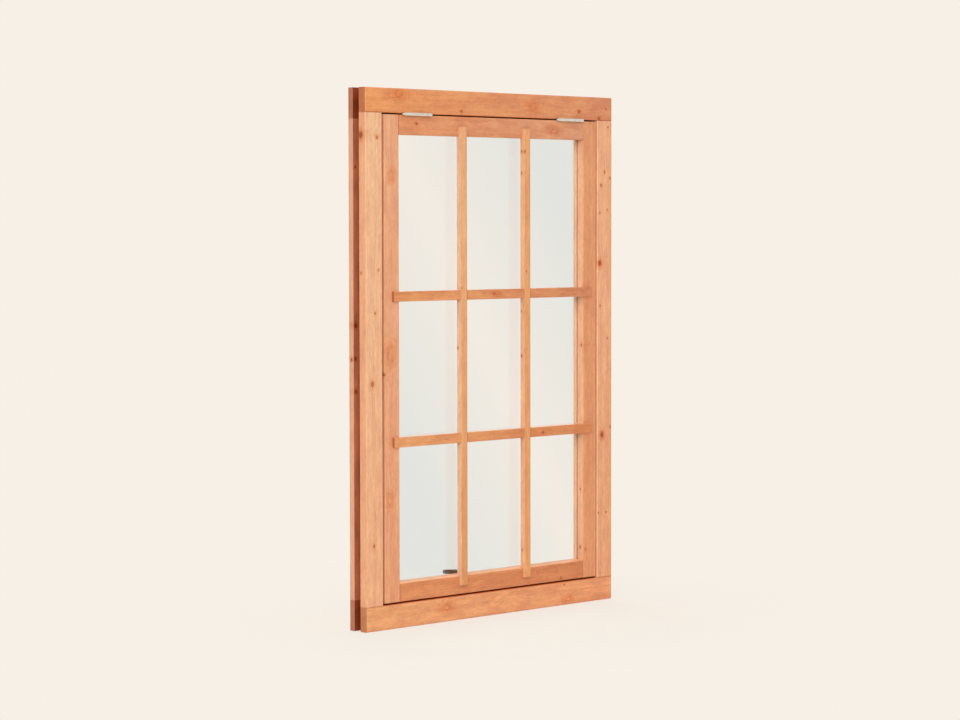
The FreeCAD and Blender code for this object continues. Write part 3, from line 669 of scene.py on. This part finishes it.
# a knot is x, y, z and radius in mm, and the axis that it runs along
FRAME_BOARDS = {
    "outer_head_board": dict(
        along="x", tones=("ec9d61", "e19469"), heart=(14, 62), **OUTER_GROOVE_SHADE,
        knots=((281, 0, 1120, 3.0, "y"), (350, 0, 1106, 3.2, "y"), (-103, 0, 1110, 2.2, "y")),
        pale_knots=((-294, 0, 1144, 6.5, "y"), (127, 0, 1126, 6.0, "y"))),
    # its top and bottom faces get a deep orange red side tone: painted shade for its top edge in the gap
    # under the sash
    "outer_sill_board": dict(
        along="x", tones=("eba874", "eea171"), side="e0783f", heart=(-22, 70), **OUTER_GROOVE_SHADE,
        knots=((232, 0, 23, 1.8, "y"),),
        pale_knots=((-151, 0, 6.6, 6.0, "y"), (244, 0, -12, 5.0, "y"))),
    "outer_left_board": dict(
        along="z", tones=("edb087", "f5c297"), side="eaab7f", heart=(-16, 75), **OUTER_GROOVE_SHADE, rubbed=0.1,
        knots=((-361, 0, 1047, 2.6, "y"), (-376, 0, 514, 4.0, "y"), (-373, 0, 162, 2.5, "y"),
               (-368, 0, 667, 1.8, "y"), (-357, 0, 761, 1.6, "y"), (0, -14.7, 755, 1.8, "x")),
        red_knots=((0, -15, 1052, 5.2, "x"),)),
    # its narrow faces get a pale side tone: painted light for its inner edge, seen in the shaded gap beside
    # the sash
    "outer_right_board": dict(
        along="z", tones=("edaa7f", "f6b58b"), side="f8c8a0", heart=(18, 64), **OUTER_GROOVE_SHADE, rubbed=1.0,
        knots=((369.5, 0, 981, 2.0, "y"), (388.4, 0, 967, 2.0, "y"), (357, 0, 950, 2.2, "y"),
               (353, 0, 885, 1.6, "y"), (379, 0, 893, 1.4, "y"), (354, 0, 668, 1.8, "y"),
               (380, 0, 592, 1.4, "y"), (389, 0, 382, 2.0, "y")),
        red_knots=((336, 0, 994, 4.2, "y"), (353, 0, 768, 4.6, "y"), (360.5, 0, 365, 4.8, "y"))),
    "inner_head_board": dict(
        along="x", tones=("e4a37a", "e2a078"), heart=(20, -66), **INNER_RAIL_GROOVE_SHADE,
        knots=((120, 0, 1126, 5.0, "y"), (-250, 0, 1112, 3.2, "y"))),
    "inner_sill_board": dict(
        along="x", tones=("e4a37c", "e0a077"), heart=(-18, -72), **INNER_RAIL_GROOVE_SHADE,
        knots=((-180, 0, 12, 4.4, "y"), (300, 0, -8, 3.0, "y"))),
    "inner_left_board": dict(
        along="z", tones=("e6a279", "e8a67e"), side="e2a886", heart=(-24, -70), **INNER_SIDE_GROOVE_SHADE,
        red_knots=((0, 16.6, 566, 2.4, "x"), (-388.3, 0, 983.5, 1.8, "y"), (-388.5, 0, 640, 3.4, "y"),
                   (-390, 0, 568, 2.8, "y"), (-389, 0, 497, 2.8, "y"), (-366, 0, 820, 4.6, "y"),
                   (-350, 0, 300, 3.2, "y"))),
    "inner_right_board": dict(
        along="z", tones=("e7a67c", "e4a278"), side="e2a886", heart=(10, -78), **INNER_SIDE_GROOVE_SHADE,
        knots=((362, 0, 700, 5.2, "y"), (374, 0, 210, 3.4, "y"))),
    "core_head": dict(along="x", tones=CORE_TONES, heart=(10, 50)),
    "core_sill": dict(along="x", tones=CORE_TONES, heart=(-12, 54)),
    "core_left_jamb": dict(along="z", tones=CORE_TONES, heart=(12, 48)),
    "core_right_jamb": dict(along="z", tones=CORE_TONES, heart=(-10, 52)),
}


def wear(piece, material):
    """Gives a loaded piece its finish."""
    piece.data.materials.clear()
    piece.data.materials.append(material)


for piece_name, finish in FRAME_BOARDS.items():
    wear(nodes[piece_name], stained_spruce(piece_name, **finish))
print(len(FRAME_BOARDS), "frame boards finished")

# %% [markdown]
# ## Sash, glazing bars and beads
#
# The sash and its bars come from the same wood, and their narrow faces are given a paler tone than their
# fronts. Left in one tone, the thin bars would look like flat strips of tape. The side tone is what makes
# them read as square sticks.

# %% Sash and bars
BAR_SIDE = "e6a878"
BEAD = dict(joint_line=0.1)
SASH_PIECES = {
    "sash_left_stile": dict(
        along="z", tones=("e9a57b", "eeae84"), side="e8ad84", heart=(10, 55),
        knots=((-340, 0, 533, 2.0, "y"),),
        pale_knots=((-323, 0, 579, 8.5, "y"), (-325, 0, 259, 6.0, "y"), (-317, 0, 966, 5.5, "y"))),
    "sash_right_stile": dict(
        along="z", tones=("e4986b", "e8a071"), side="ebb187", heart=(-14, 58), rubbed=0.6,
        knots=((0, -24, 578, 2.1, "x"), (0, -20, 104, 2.0, "x"), (0, -21, 241, 1.5, "x"),
               (304, 0, 99, 1.5, "y"))),
    # its top and bottom faces get a bright orange side tone: painted light for its top edge in the shaded gap
    # under the head
    "sash_top_rail": dict(
        along="x", tones=("e49564", "e29e77"), side="ffaa68", heart=(12, 60),
        knots=((-242, 0, 1079, 2.4, "y"),),
        pale_knots=((197, 0, 1075, 6.0, "y"),)),
    "sash_bottom_rail": dict(
        along="x", tones=("de905e", "d58455"), side="eba877", heart=(-16, 66),
        knots=((220, 0, 39, 1.9, "y"),)),
    "upright_bar_left": dict(
        along="z", tones=("e09b64", "f3b681"), side="e6b794", heart=(16, 44),
        knots=((0, -25.5, 584, 2.2, "x"), (-109, 0, 718, 1.2, "y"))),
    "upright_bar_right": dict(
        along="z", tones=("e8a16a", "eca871"), side="e7af85", heart=(-12, 48),
        knots=((94, 0, 1024, 2.0, "y"), (0, -26.5, 560, 2.2, "x"), (0, -27.5, 975, 1.6, "x"),
               (0, -27.5, 115, 1.5, "x"), (98, 0, 752, 1.5, "y"), (0, -26, 661, 1.4, "x"))),
    "cross_bar_lower": dict(
        along="x", tones=("e59e68", "db8854"), side=BAR_SIDE, heart=(10, 46),
        knots=((153, 0, 382, 2.4, "y"),)),
    "cross_bar_upper": dict(
        along="x", tones=("e69a61", "d98d62"), side=BAR_SIDE, heart=(-10, 42),
        knots=((-7, 0, 703, 1.5, "y"),),
        pale_knots=((4, 0, 705, 3.6, "y"),)),
    "bead_top": dict(along="x", tones=("e5a97e", "e2a478"), heart=(8, 40), **BEAD),
    "bead_bottom": dict(along="x", tones=("e5a97e", "e2a478"), heart=(-8, 44), **BEAD),
    "bead_left": dict(along="z", tones=("e5ae88", "e5ae87"), heart=(9, 42), **BEAD),
    # the right bead is toned paler than the left: painted light, for the light it loses behind the glass
    "bead_right": dict(along="z", tones=("f9c2a0", "f8bf9c"), heart=(-9, 46), **BEAD),
}
for piece_name, finish in SASH_PIECES.items():
    wear(nodes[piece_name], stained_spruce(piece_name, **finish))
print(len(SASH_PIECES), "sash pieces finished")

# %% [markdown]
# ## Glass
#
# The pane is one 4 mm sheet of float glass behind all the bars: clear, with a trace of coolness, and mirror
# smooth. Real glass lets lamp light through, but a path tracer can't aim at a lamp through a refraction, so
# plain glass would throw a full shadow. Mixing in plain transparency for shadow rays gives the wood behind
# the pane its light back.

# %% Float glass
GLASS_TINT = linear("f4f8f7")
GLASS_IOR = 1.5

# float glass gives the eye what lies behind it, a little cooler, under a faint sharp reflection
float_glass, tree = new_material("float_glass")
path = add(tree, "ShaderNodeLightPath").outputs
pane = add(tree, "ShaderNodeBsdfPrincipled", Base_Color=GLASS_TINT, Roughness=0.0, IOR=GLASS_IOR,
           Transmission_Weight=1.0)
clear = add(tree, "ShaderNodeBsdfTransparent", Color=GLASS_TINT)
lets_lamps_in = add(tree, "ShaderNodeMixShader", Fac=path["Is Shadow Ray"], _1=pane.outputs[0],
                    _2=clear.outputs[0])
add(tree, "ShaderNodeOutputMaterial", Surface=lets_lamps_in.outputs[0])
wear(nodes["glass_pane"], float_glass)

# %% [markdown]
# ## Zinc plated hinges
#
# The hinges are rolled from steel sheet and zinc plated, which leaves a pale, slightly cloudy metal. An even
# metal would look like chrome. The cloud is a noise a few millimetres wide that moves tone and roughness, so
# that the barrel catches the light unevenly.

# %% Zinc plate
CLOUD_MM = 5
ZINC_BRIGHT = linear("f4f3ef")
ZINC_DULL = linear("cac8c2")
ZINC_SHEEN = {"To_Min": 0.30, "To_Max": 0.46}
ZINC_RELIEF = {"Strength": 0.15, "Distance": 0.1 * MM}

# zinc plate gives the eye a pale grey with broad, soft highlights
zinc, tree = new_material("zinc_plated_steel")
where = add(tree, "ShaderNodeTexCoord").outputs
cloud = add(tree, "ShaderNodeTexNoise", Vector=where["Object"], Scale=1 / (CLOUD_MM * MM), Detail=3.0)
cloud = cloud.outputs["Fac"]
tone = add(tree, "ShaderNodeMix", BLEND, Factor=cloud, _6=ZINC_BRIGHT, _7=ZINC_DULL)
rough = add(tree, "ShaderNodeMapRange", Value=cloud, **NOISE_SPAN, **ZINC_SHEEN)
bump = add(tree, "ShaderNodeBump", Height=cloud, **ZINC_RELIEF)
metal = add(tree, "ShaderNodeBsdfPrincipled", Base_Color=tone.outputs[2], Metallic=1.0,
            Roughness=rough.outputs[0], Normal=bump.outputs[0])
add(tree, "ShaderNodeOutputMaterial", Surface=metal.outputs[0])
hinge_pieces = [piece for name, piece in nodes.items() if name.startswith("hinge")]
for piece in hinge_pieces:
    wear(piece, zinc)
print(len(hinge_pieces), "hinge pieces plated")

# %% [markdown]
# ## Black japanned latch
#
# The latch is cast iron under stoved black paint, which is never quite black: it has a soft sheen and the
# grain of the casting under it. A plain black would lose the latch's shape. Two noises keep it, a fine one
# for the sand of the mould and a broad one for thin paint.

# %% Japanned iron
# real moulding sand is about 0.3 mm; it is drawn coarser, or it would not show
SAND_MM = 0.9
THIN_PAINT_MM = 14
JAPAN_DEEP = linear("3a3533")
JAPAN_THIN = linear("5a514c")
JAPAN_SHEEN = {"To_Min": 0.34, "To_Max": 0.52}
JAPAN_RELIEF = {"Strength": 0.35, "Distance": 0.15 * MM}
JAPAN_IOR = 1.52

# stoved paint on a casting gives the eye a warm near black, with a sheen that the grain breaks up
japan, tree = new_material("japanned_cast_iron")
where = add(tree, "ShaderNodeTexCoord").outputs
sand = add(tree, "ShaderNodeTexNoise", Vector=where["Object"], Scale=1 / (SAND_MM * MM), Detail=2.0)
thin = add(tree, "ShaderNodeTexNoise", Vector=where["Object"], Scale=1 / (THIN_PAINT_MM * MM), Detail=3.0)
tone = add(tree, "ShaderNodeMix", BLEND, Factor=thin.outputs["Fac"], _6=JAPAN_DEEP, _7=JAPAN_THIN)
rough = add(tree, "ShaderNodeMapRange", Value=thin.outputs["Fac"], **NOISE_SPAN, **JAPAN_SHEEN)
bump = add(tree, "ShaderNodeBump", Height=sand.outputs["Fac"], **JAPAN_RELIEF)
coat = add(tree, "ShaderNodeBsdfPrincipled", Base_Color=tone.outputs[2], Roughness=rough.outputs[0],
           Normal=bump.outputs[0], IOR=JAPAN_IOR)
add(tree, "ShaderNodeOutputMaterial", Surface=coat.outputs[0])
latch_pieces = ("latch_base", "latch_lever", "latch_keep")
for piece_name in latch_pieces:
    wear(nodes[piece_name], japan)
print(len(latch_pieces), "latch pieces painted")

# %% [markdown]
# ## Rusted nails
#
# Bright steel nails outdoors rust within a season and sink to small brown dots in the wood. Rust is no metal
# to the eye but a dull powder. So it is not the zinc in brown, but a rough surface whose tone changes from
# fleck to fleck.

# %% Rust
FLECK_MM = 1.2
RUST_DARK = linear("9e5222")
RUST_PALE = linear("c07a46")
RUST_ROUGHNESS = 0.85
RUST_RELIEF = {"Strength": 0.4, "Distance": 0.1 * MM}

# rust gives the eye a dull orange brown that never shines
rusted, tree = new_material("rusted_steel")
where = add(tree, "ShaderNodeTexCoord").outputs
fleck = add(tree, "ShaderNodeTexNoise", Vector=where["Object"], Scale=1 / (FLECK_MM * MM), Detail=2.0)
tone = add(tree, "ShaderNodeMix", BLEND, Factor=fleck.outputs["Fac"], _6=RUST_DARK, _7=RUST_PALE)
bump = add(tree, "ShaderNodeBump", Height=fleck.outputs["Fac"], **RUST_RELIEF)
rust = add(tree, "ShaderNodeBsdfPrincipled", Base_Color=tone.outputs[2], Roughness=RUST_ROUGHNESS,
           Normal=bump.outputs[0])
add(tree, "ShaderNodeOutputMaterial", Surface=rust.outputs[0])
print("rust flecks", FLECK_MM, "mm wide")

# %% [markdown]
# ## Fixings: one head from its sizes
#
# Nails, glazing pins and screws all show as small round heads. A tree of Geometry Nodes makes one from named
# sizes: a ball, flattened to a dome by its height, with a slot cut across it where it is a screw. A mesh made
# by hand for each size would do too, but the sizes could then no longer be changed in one place.

# %% Tree for one head
DOME_SEGMENTS = 20
DOME_RINGS = 10

heads = bpy.data.node_groups.new("fixing_heads", "GeometryNodeTree")
for label, kind in (("Places", "Geometry"), ("Diameter", "Float"), ("Height", "Float"),
                    ("Slot Width", "Float"), ("Facing", "Vector"), ("Seed", "Int"), ("Finish", "Material")):
    heads.interface.new_socket(label, in_out="INPUT", socket_type=f"NodeSocket{kind}")
heads.interface.new_socket("Heads", in_out="OUTPUT", socket_type="NodeSocketGeometry")

given = add(heads, "NodeGroupInput").outputs
radius = add(heads, "ShaderNodeMath", {"operation": "MULTIPLY"}, _0=given["Diameter"], _1=0.5)
flatten = add(heads, "ShaderNodeMath", {"operation": "DIVIDE"}, _0=given["Height"], _1=radius.outputs[0])
dome_scale = add(heads, "ShaderNodeCombineXYZ", X=1.0, Y=1.0, Z=flatten.outputs[0])
dome = add(heads, "GeometryNodeMeshUVSphere", Segments=DOME_SEGMENTS, Rings=DOME_RINGS,
           Radius=radius.outputs[0])
dome = add(heads, "GeometryNodeTransform", Geometry=dome.outputs["Mesh"], Scale=dome_scale.outputs[0])
slot_size = add(heads, "ShaderNodeCombineXYZ", X=given["Diameter"], Y=given["Slot Width"], Z=given["Height"])
slot_lift = add(heads, "ShaderNodeCombineXYZ", Z=given["Height"])
cutter = add(heads, "GeometryNodeMeshCube", Size=slot_size.outputs[0])
cutter = add(heads, "GeometryNodeTransform", Geometry=cutter.outputs["Mesh"],
             Translation=slot_lift.outputs[0])
slotted = add(heads, "GeometryNodeMeshBoolean", {"operation": "DIFFERENCE"}, _0=dome.outputs[0],
              _1=cutter.outputs[0])
is_screw = add(heads, "FunctionNodeCompare", {"data_type": "FLOAT", "operation": "GREATER_THAN"},
               _0=given["Slot Width"], _1=0.0)
head = add(heads, "GeometryNodeSwitch", {"input_type": "GEOMETRY"}, _0=is_screw.outputs[0],
           _1=dome.outputs[0], _2=slotted.outputs[0])
print("one head takes", len(heads.nodes), "nodes")

# %% [markdown]
# ## Fixings: a head at every place
#
# The same tree sets its head on every point of a mesh. Copying objects by hand would be slow to change. A
# seed turns each slot differently, as a screwdriver leaves them. The copies are made real at the end, because
# instances don't survive an export.

# %% Tree for all heads
points = add(heads, "GeometryNodeMeshToPoints", Mesh=given["Places"])
turned = add(heads, "FunctionNodeRandomValue", {"data_type": "FLOAT_VECTOR"}, _0=(0, 0, 0),
             _1=(0, 0, math.pi), Seed=given["Seed"])
placed = add(heads, "GeometryNodeInstanceOnPoints", Points=points.outputs[0], Instance=head.outputs[0],
             Rotation=given["Facing"])
placed = add(heads, "GeometryNodeRotateInstances", Instances=placed.outputs[0], Rotation=turned.outputs[0])
real = add(heads, "GeometryNodeRealizeInstances", Geometry=placed.outputs[0])
finished = add(heads, "GeometryNodeSetMaterial", Geometry=real.outputs[0], Material=given["Finish"])
add(heads, "NodeGroupOutput", Heads=finished.outputs[0])
print("fixing_heads has", len(heads.nodes), "nodes")

# %% [markdown]
# ## Fixings: from places to a plain mesh
#
# Where fixings go is just a list of places. A helper makes a mesh of bare points from it, hands that to the
# tree with the sizes of one kind of head, and keeps the result as a plain mesh. The modifier could stay on
# the object, but then other programs would find only the bare points.

# %% Setting heads
SLOT_SEED = 5


def set_heads(name, places, facing, finish, slot, diameter, height, slot_width):
    """One object with a head at each place; sizes in mm, places in metres."""
    mesh = bpy.data.meshes.new(name)
    mesh.from_pydata(places, [], [])
    piece = bpy.data.objects.new(name, mesh)
    scene.collection.objects.link(piece)
    maker = piece.modifiers.new("heads", "NODES")
    maker.node_group = heads
    values = {"Diameter": diameter * MM, "Height": height * MM, "Slot Width": slot_width * MM,
              "Facing": facing, "Seed": SLOT_SEED, "Finish": finish}
    for item in heads.interface.items_tree:
        if item.name in values:
            maker[item.identifier] = values[item.name]
    made = bpy.data.meshes.new_from_object(piece.evaluated_get(bpy.context.evaluated_depsgraph_get()))
    piece.modifiers.remove(maker)
    piece.data = made
    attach(piece, "root")
    print(name, len(places), "heads,", len(made.polygons), "faces")


print("slots are turned by seed", SLOT_SEED)

# %% [markdown]
# ## Fixings: nails and pins on the room side
#
# The frame is nailed through the inner boards into the core, and fine pins hold the glazing beads. A joiner
# steps them off along a board. Places typed in by hand would be wrong as soon as a board got longer, so they
# are spaced evenly between ends that are measured on the pieces.

# %% Room side fixings
TOWARDS_ROOM = (math.radians(-90), 0, 0)
ROOM_NAIL = dict(diameter=4.2, height=0.5, slot_width=0)
GLAZING_PIN = dict(diameter=1.8, height=0.4, slot_width=0)
NAILS_PER_RAIL = 6
NAILS_PER_JAMB = 5
PINS_PER_RAIL = 5
PINS_PER_STILE = 7
PIN_INSET = 2 * MM


def spaced(low, high, count):
    """Evenly spaced places, half a step in from both ends."""
    step = (high - low) / count
    return [low + step * (number + 0.5) for number in range(count)]


room_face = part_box("inner_head_board")[1][1]
core_low, core_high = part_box("core_left_jamb")
jamb_x = (core_low[0] + core_high[0]) / 2
rail_z = [sum(corner[2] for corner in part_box(name)) / 2 for name in ("core_head", "core_sill")]
jamb_z = spaced(core_low[2], core_high[2], NAILS_PER_JAMB)
nail_places = [(x, room_face, z) for z in rail_z for x in spaced(core_low[0], -core_low[0], NAILS_PER_RAIL)]
nail_places += [(x, room_face, z) for x in (jamb_x, -jamb_x) for z in jamb_z]
set_heads("room_side_nails", nail_places, TOWARDS_ROOM, zinc, "hinge_steel", **ROOM_NAIL)

left_x, _, low_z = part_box("bead_bottom")[0]
bead_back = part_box("bead_bottom")[1][1]
right_x, _, high_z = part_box("bead_top")[1]
rail_x = spaced(left_x, right_x, PINS_PER_RAIL)
stile_z = spaced(low_z, high_z, PINS_PER_STILE)
pin_places = [(x, bead_back, z) for z in (low_z + PIN_INSET, high_z - PIN_INSET) for x in rail_x]
pin_places += [(x, bead_back, z) for x in (left_x + PIN_INSET, right_x - PIN_INSET) for z in stile_z]
set_heads("glazing_pins", pin_places, TOWARDS_ROOM, zinc, "hinge_steel", **GLAZING_PIN)

# %% [markdown]
# ## Fixings: latch screws and outside nails
#
# Round headed screws in the latch's own black hold its base and its keep, a pair in each plate. On the
# outside four plain steel nails show at the right, and have rusted. Neither needs a new tree: a slot width
# above 0 makes a screw, and a turn to the other side makes an outside nail.

# %% Latch screws and outside nails
TOWARDS_VIEWER = (math.radians(90), 0, 0)
LATCH_SCREW = dict(diameter=7, height=2.2, slot_width=1.1)
CASING_NAIL = dict(diameter=5, height=0.4, slot_width=0)
LATCH_PLATES = {"latch_base": dict(half_pitch=21 * MM, thickness=3 * MM),
                "latch_keep": dict(half_pitch=15 * MM, thickness=2 * MM)}
CASING_NAILS_XZ = ((373, 1128.5), (381.3, 1086), (348.2, 182), (375, 181.5))

screw_places = []
for plate_name, plate in LATCH_PLATES.items():
    low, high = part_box(plate_name)
    middle_x, middle_z = (low[0] + high[0]) / 2, (low[2] + high[2]) / 2
    face = low[1] + plate["thickness"]
    screw_places += [(middle_x + side * plate["half_pitch"], face, middle_z) for side in (-1, 1)]
set_heads("latch_screws", screw_places, TOWARDS_ROOM, japan, "latch_iron", **LATCH_SCREW)

casing_places = [(x * MM, front_y, z * MM) for x, z in CASING_NAILS_XZ]
set_heads("casing_nails", casing_places, TOWARDS_VIEWER, rusted, "hinge_steel", **CASING_NAIL)
